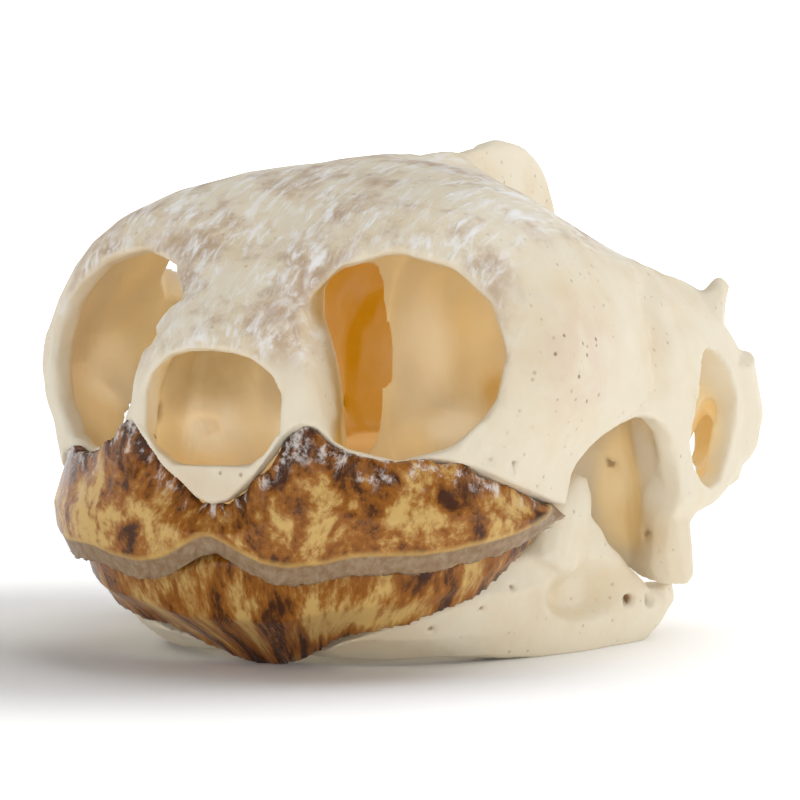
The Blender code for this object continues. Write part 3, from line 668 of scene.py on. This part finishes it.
# Browns of the painted shade in the openings, of the pores and of the painted shade in the nose, and the
# flush round the pores
HOLE_SHADE_BROWN = (0.24, 0.11, 0.03, 1)
PORE_BROWN = (0.30, 0.15, 0.07, 1)
SHADY_BROWN = (0.46, 0.32, 0.13, 1)
FLUSH = (0.74, 0.55, 0.41, 1)
# Painted glow: light given off by bone that is shut in, pale or thin, standing in for light that falls into
# it or comes through it
NO_GLOW = (0, 0, 0, 1)
RECESS_GLOW = (0.23, 0.168, 0.08, 1)
PALE_GLOW = (0.30, 0.24, 0.155, 1)
AMBER_GLOW = (0.17, 0.085, 0.0, 1)
# Pores to a metre, before most are left out
PORE_SPACING = 1500.0


def inner_tones(tree, place, colour, settings):
    """Lays the painted shade of the nose and the painted light of the pale bone over a colour, and returns it
    with both masks.
    """
    lit = fit(tree, cloud(tree, place, 380.0, 3.0), 0.3, 0.7, 1.0, 0.7)
    sheltered = fit(tree, attribute(tree, "shelter"), 0.2, 0.45)
    shady = times(tree, attribute(tree, "shady"), lit, sheltered)
    # Painted shade in the nose
    colour = mix(tree, times(tree, shady, 0.8), colour, SHADY_BROWN)
    pale = attribute(tree, "pale")
    # Painted light: pale lit bone on the orbit walls and round the opening at the back of the nose
    colour = mix(tree, times(tree, pale, 0.85), colour, rgba(settings.cream))
    return colour, shady, pale


def pored_tones(tree, place, colour, group):
    """Lays the flush, the pores and the painted shade of the openings over a colour, and returns it with the
    pores.
    """
    pored = attribute(tree, "pored")
    flush = times(tree, pored, fit(tree, cloud(tree, place, 420.0, 4.0), 0.35, 0.65, 0.0, 0.5))
    colour = mix(tree, flush, colour, FLUSH)
    open_air = fit(tree, attribute(tree, "shelter"), 0.1, 0.4, 1.0, 0.1)
    inputs = {"Place": place, "Spacing": PORE_SPACING, "Amount": open_air, "Gather": pored}
    pores = use_group(tree, group, inputs)["Pores"]
    colour = mix(tree, times(tree, pores, 0.8), colour, PORE_BROWN)
    # Painted shade in the small openings
    dark = fit(tree, attribute(tree, "dark"), 0.2, 0.8, 0.0, 0.9)
    return mix(tree, dark, colour, HOLE_SHADE_BROWN), pores


def roof_tones(tree, place, colour, group, settings):
    """Lays the stains and the white streaks of the roof over a colour, and returns it with the streaks."""
    roof = attribute(tree, "roof")
    streaks = use_group(tree, group, {"Place": place})["Streaks"]
    stain = times(tree, fit(tree, cloud(tree, place, 230.0, 6.0, 0.65), 0.44, 0.66), roof)
    colour = mix(tree, times(tree, stain, 0.85), colour, rgba(settings.stain))
    bloom = fit(tree, cloud(tree, place, 300.0, 3.0), 0.30, 0.58, 0.25, 1.0)
    white = times(tree, streaks, bloom, roof)
    return mix(tree, times(tree, white, 0.95), colour, rgba(settings.chalk)), white


def painted_glow(tree, shady, pale):
    """Returns the painted glow: light given off by shut-in, pale and thin bone."""
    shut_in = fit(tree, attribute(tree, "shelter"), 0.4, 0.95)
    unshaded = calc(tree, "SUBTRACT", 1.0, shady)
    soft = mix(tree, times(tree, shut_in, unshaded), NO_GLOW, RECESS_GLOW)
    soft = mix(tree, times(tree, pale, shut_in), soft, PALE_GLOW)
    return mix(tree, times(tree, attribute(tree, "amber"), shut_in), soft, AMBER_GLOW)


def bone_material(name, settings, groups, chalky):
    """Makes the bone of one piece."""
    material, tree, shader = new_material(name)
    place = add(tree, "ShaderNodeTexCoord").outputs["Object"]
    colour = use_group(tree, groups["colour"], {
        "Place": place, "Shelter": attribute(tree, "shelter"), "Glow": attribute(tree, "amber"),
        "Cream": rgba(settings.cream), "Warm": rgba(settings.warm), "Inside": rgba(settings.inside),
        "Amber": rgba(settings.amber)})["Color"]
    colour, shady, pale = inner_tones(tree, place, colour, settings)
    colour, pores = pored_tones(tree, place, colour, groups["pores"])
    grain = cloud(tree, place, 2600.0, 2.0, 0.65)
    height = calc(tree, "SUBTRACT", times(tree, grain, 0.25), pores)
    roughness = fit(tree, cloud(tree, place, 500.0), 0.3, 0.7, 0.42, 0.58)
    if chalky:
        colour, white = roof_tones(tree, place, colour, groups["fibres"], settings)
        height = calc(tree, "ADD", height, times(tree, white, 0.6))
        roughness = calc(tree, "ADD", roughness, times(tree, white, 0.25))
    bump = add(tree, "ShaderNodeBump", {"Height": height, "Strength": 0.6, "Distance": 0.1 * MM})
    join_surface(tree, shader, colour, roughness, bump)
    # Painted glow: the bone gives off light where it is shut in, pale or thin
    tree.links.new(painted_glow(tree, shady, pale), shader.inputs["Emission Color"])
    shader.inputs["Emission Strength"].default_value = 1.0
    shader.inputs["Specular IOR Level"].default_value = 0.3
    material.cycles.emission_sampling = "NONE"
    return material


def horn_group():
    """Makes the group for mottled horn: dark blotches and streaks over tan."""
    inputs = [("Place", VECTOR), ("Tone", NUMBER), ("Stretch", NUMBER), ("Dark", COLOUR), ("Orange", COLOUR),
              ("Tan", COLOUR)]
    tree, given, out = new_group("Horn mottle", inputs, [("Color", COLOUR), ("Mottle", NUMBER)])
    across = add(tree, "ShaderNodeCombineXYZ", {0: 1.0, 1: given["Stretch"], 2: 0.0}).outputs[0]
    place = add(tree, "ShaderNodeVectorMath", {0: given["Place"], 1: across}, operation="MULTIPLY").outputs[0]
    blotches = cloud(tree, place, 0.5, 5.0, 0.6, 0.5)
    fine = cloud(tree, place, 2.2, 5.0, 0.65)
    rim = fit(tree, axis(tree, given["Place"], 2), 0.78, 1.0)
    value = calc(tree, "ADD", blotches, times(tree, calc(tree, "SUBTRACT", fine, 0.5), 0.45))
    value = calc(tree, "SUBTRACT", value, times(tree, rim, 0.10))
    value = calc(tree, "ADD", value, times(tree, given["Tone"], 0.14))
    warm = mix(tree, fit(tree, value, 0.28, 0.50), given["Dark"], given["Orange"])
    tree.links.new(mix(tree, fit(tree, value, 0.46, 0.66), warm, given["Tan"]), out.inputs[0])
    tree.links.new(value, out.inputs[1])
    return tree


# Worn places of the pale band
PALE_HORN = (0.40, 0.29, 0.18, 1)


def band_tones(tree, place, colour, roughness, settings):
    """Lays the pale band and the white bloom over a colour, and returns it with the roughness."""
    rise = axis(tree, place, 1)
    top = settings.band / MM
    band = fit(tree, rise, top, top + 0.2, 1.0, 0.0)
    line = fit(tree, rise, top + 0.1, top + 0.5, 0.7, 0.0)
    colour = mix(tree, line, colour, rgba(settings.tan))
    worn = fit(tree, cloud(tree, place, 2.6, 4.0), 0.3, 0.8)
    colour = mix(tree, band, colour, mix(tree, worn, rgba(settings.edge), PALE_HORN))
    border = fit(tree, axis(tree, place, 2), 0.72, 0.9)
    patchy = fit(tree, cloud(tree, place, 1.5, 5.0, 0.7), 0.5, 0.66)
    bloom = times(tree, border, patchy, 0.75)
    colour = mix(tree, bloom, colour, rgba(settings.bloom))
    roughness = calc(tree, "ADD", roughness, times(tree, bloom, 0.4))
    return colour, calc(tree, "ADD", roughness, times(tree, band, 0.1))


def horn_material(name, settings, mottle, stretch, has_band):
    """Makes the horn of one sheath."""
    material, tree, shader = new_material(name)
    place = attribute(tree, "horn_place", "Vector")
    horn = use_group(tree, mottle, {
        "Place": place, "Tone": attribute(tree, "tone"), "Stretch": stretch, "Dark": rgba(settings.dark),
        "Orange": rgba(settings.orange), "Tan": rgba(settings.tan)})
    colour = horn["Color"]
    roughness = fit(tree, horn["Mottle"], 0.3, 0.7, 0.26, 0.4)
    if has_band:
        colour, roughness = band_tones(tree, place, colour, roughness, settings)
    grain = cloud(tree, place, 3.0, 4.0, 0.6)
    bump = add(tree, "ShaderNodeBump", {"Height": grain, "Strength": 0.35, "Distance": 0.08 * MM})
    join_surface(tree, shader, colour, roughness, bump)
    shader.inputs["Specular IOR Level"].default_value = 0.25
    shader.inputs["Coat Weight"].default_value = 0.08
    shader.inputs["Coat Roughness"].default_value = 0.1
    return material


def shared(name, make):
    """Returns a node group by its name, and makes it the first time."""
    return bpy.data.node_groups.get(name) or make()


def bone_groups():
    """Returns the node groups that the bones share."""
    return {"colour": shared("Bone colour", bone_colour_group), "pores": shared("Bone pores", pore_group),
            "fibres": shared("Roof fibres", fibre_group)}


# Stage

SWEEP_PROFILE = ((1.12, 0.006), (1.22, 0.02), (1.30, 0.05), (1.35, 0.10), (1.37, 0.2))
LIGHT_AIM = Vector((0, 0, 12 * MM))
# Places and widths of the lamps in metres
LAMP_ABOVE = (0.15, 0.22, 0.62)
LAMP_ABOVE_WIDTH = 0.55
LAMP_IN_FRONT = (0.10, -0.6, 0.35)
LAMP_IN_FRONT_WIDTH = 0.5
# Moves the middle of the floor's shade away from the lamp above
SHADE_SHIFT = (0.012, 0.008, 0)


def lay_floor(settings):
    """Makes a round floor whose rim sweeps up, so that no horizon shows from any side."""
    bpy.ops.object.select_all(action="DESELECT")
    bpy.ops.mesh.primitive_circle_add(vertices=96, radius=settings.floor, fill_type="NGON")
    floor = bpy.context.object
    floor.name = "studio_floor"
    bpy.ops.object.mode_set(mode="EDIT")
    bpy.ops.mesh.select_all(action="SELECT")
    bpy.ops.mesh.region_to_loop()
    wide, level = 1.0, 0.0
    for reach, height in SWEEP_PROFILE:
        bpy.ops.mesh.extrude_edges_move(TRANSFORM_OT_translate={"value": (0, 0, height - level)})
        bpy.ops.transform.resize(value=(reach / wide, reach / wide, 1))
        wide, level = reach, height
    bpy.ops.object.mode_set(mode="OBJECT")
    bpy.ops.object.shade_smooth()
    floor.data.materials.append(floor_material(settings))


def floor_material(settings):
    """Makes the floor's white, which gives off less light near the skull, as a painted shadow."""
    material, tree, shader = new_material("studio_white")
    shader.inputs["Base Color"].default_value = rgba(settings.white)
    shader.inputs["Roughness"].default_value = 0.9
    shader.inputs["Specular IOR Level"].default_value = 0.0
    place = placed(tree, add(tree, "ShaderNodeTexCoord").outputs["Object"], shift=SHADE_SHIFT)
    away = add(tree, "ShaderNodeVectorMath", {0: place}, operation="LENGTH").outputs["Value"]
    levels = (settings.under_glow, settings.near_glow, settings.far_glow)
    under, near, far = (rgba([level] * 3) for level in levels)
    # Painted shadow: the floor gives off less light under and near the skull
    painted_shadow_glow = mix(tree, fit(tree, away, 0.02, 0.038), under, near)
    tree.links.new(mix(tree, fit(tree, away, 0.06, 0.35), painted_shadow_glow, far), shader.inputs["Emission Color"])
    shader.inputs["Emission Strength"].default_value = 1.0
    material.cycles.emission_sampling = "NONE"
    return material


def hang_lamp(name, place, size, power):
    """Hangs a square lamp that points at the skull."""
    bpy.ops.object.light_add(type="AREA", location=place)
    lamp = bpy.context.object
    lamp.name = name
    lamp.data.shape = "SQUARE"
    lamp.data.size = size
    lamp.data.energy = power
    lamp.rotation_euler = (LIGHT_AIM - Vector(place)).to_track_quat("-Z", "Y").to_euler()


def set_sky(strength):
    """Lights the stage evenly from all round."""
    world = bpy.data.worlds.new("studio_sky")
    bpy.context.scene.world = world
    world.use_nodes = True
    background = world.node_tree.nodes["Background"]
    background.inputs["Color"].default_value = (1, 1, 1, 1)
    background.inputs["Strength"].default_value = strength


# Middle of the picture, from the skull's own middle: to the camera's right and up
CAMERA_MIDDLE = Vector((0, -4.1 * MM, 13 * MM))
CAMERA_SIDE = 2.3 * MM
CAMERA_RISE = 0.3 * MM


def set_camera(settings):
    """Places the camera where the photograph was taken from."""
    azimuth, elevation = settings.azimuth, settings.elevation
    level = math.cos(elevation)
    back = Vector((math.sin(azimuth) * level, -math.cos(azimuth) * level, math.sin(elevation)))
    right = Vector((math.cos(azimuth), math.sin(azimuth), 0))
    up = back.cross(right)
    place = Matrix((right, up, back)).transposed().to_4x4()
    place.translation = CAMERA_MIDDLE + right * CAMERA_SIDE + up * CAMERA_RISE + back * settings.distance
    bpy.ops.object.camera_add()
    camera = bpy.context.object
    camera.matrix_world = place
    camera.data.sensor_width = 36
    camera.data.lens = settings.lens
    camera.data.clip_start = 5 * MM
    bpy.context.scene.camera = camera


# Operators

class SKULL_OT_cranium(bpy.types.Operator):
    """Makes the upper skull of pored and chalky bone"""

    bl_idname = "skull.cranium"
    bl_label = "Cranium"

    def execute(self, context):
        settings = context.scene.skull_bone
        piece = bone_piece("cranium", "cranium_bone", settings.skull_faces, SKULL_DENTS, settings)
        piece.data.materials.append(bone_material("roof_bone", settings, bone_groups(), chalky=True))
        hand_in(piece, "cranium")
        return {"FINISHED"}


class SKULL_OT_lower_jaw(bpy.types.Operator):
    """Makes the lower jaw of smooth bone"""

    bl_idname = "skull.lower_jaw"
    bl_label = "Lower jaw"

    def execute(self, context):
        settings = context.scene.skull_bone
        piece = bone_piece("lower_jaw", "lower_jaw_bone", settings.jaw_faces, JAW_DENTS, settings)
        piece.data.materials.append(bone_material("smooth_bone", settings, bone_groups(), chalky=False))
        hand_in(piece, "lower_jaw")
        return {"FINISHED"}


class SKULL_OT_horn_sheaths(bpy.types.Operator):
    """Makes the two horn sheaths of the beak"""

    bl_idname = "skull.horn_sheaths"
    bl_label = "Horn sheaths"

    def execute(self, context):
        settings = context.scene.skull_horn
        mottle = shared("Horn mottle", horn_group)
        upper = horn_piece("upper_beak_sheath", "upper_horn", settings, UPPER_BLOTCHES, True, "bottom",
                           settings.ragged)
        upper.data.materials.append(horn_material("mottled_horn", settings, mottle, 0.9, True))
        hand_in(upper, "upper_beak_sheath")
        lower = horn_piece("lower_beak_sheath", "lower_horn", settings, LOWER_BLOTCHES, False, "top",
                           settings.ragged * 0.4)
        lower.data.materials.append(horn_material("streaked_horn", settings, mottle, 0.55, False))
        hand_in(lower, "lower_beak_sheath")
        return {"FINISHED"}


class SKULL_OT_stage(bpy.types.Operator):
    """Lays the floor and sets the lamps and the camera"""

    bl_idname = "skull.stage"
    bl_label = "Stage"

    def execute(self, context):
        settings = context.scene.skull_stage
        lay_floor(settings)
        hang_lamp("lamp_above", LAMP_ABOVE, LAMP_ABOVE_WIDTH, settings.key_power)
        hang_lamp("lamp_in_front", LAMP_IN_FRONT, LAMP_IN_FRONT_WIDTH, settings.fill_power)
        set_sky(settings.sky)
        set_camera(settings)
        context.scene.view_settings.view_transform = "Standard"
        return {"FINISHED"}


class SKULL_PT_panel(bpy.types.Panel):
    """Lists what dresses the skull"""

    bl_idname = "SKULL_PT_panel"
    bl_label = "Turtle Skull"
    bl_space_type = "VIEW_3D"
    bl_region_type = "UI"
    bl_category = "Turtle Skull"

    def draw(self, context):
        layout = self.layout
        for operator in OPERATORS:
            layout.operator(operator.bl_idname)
        for settings in (context.scene.skull_bone, context.scene.skull_horn, context.scene.skull_stage):
            box = layout.box()
            for name in settings.__annotations__:
                box.prop(settings, name)


GROUPS = (BoneSettings, HornSettings, StageSettings)
OPERATORS = (SKULL_OT_cranium, SKULL_OT_lower_jaw, SKULL_OT_horn_sheaths, SKULL_OT_stage)


def register():
    """Registers the settings, the operators and the panel."""
    for kind in GROUPS + OPERATORS + (SKULL_PT_panel,):
        bpy.utils.register_class(kind)
    bpy.types.Scene.skull_bone = PointerProperty(type=BoneSettings)
    bpy.types.Scene.skull_horn = PointerProperty(type=HornSettings)
    bpy.types.Scene.skull_stage = PointerProperty(type=StageSettings)


def unregister():
    """Removes what register added."""
    del bpy.types.Scene.skull_stage
    del bpy.types.Scene.skull_horn
    del bpy.types.Scene.skull_bone
    for kind in reversed(GROUPS + OPERATORS + (SKULL_PT_panel,)):
        bpy.utils.unregister_class(kind)


def main():
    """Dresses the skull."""
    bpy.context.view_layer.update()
    register()
    bpy.ops.skull.cranium()
    bpy.ops.skull.lower_jaw()
    bpy.ops.skull.horn_sheaths()
    bpy.ops.skull.stage()


if __name__ == "__main__":
    main()
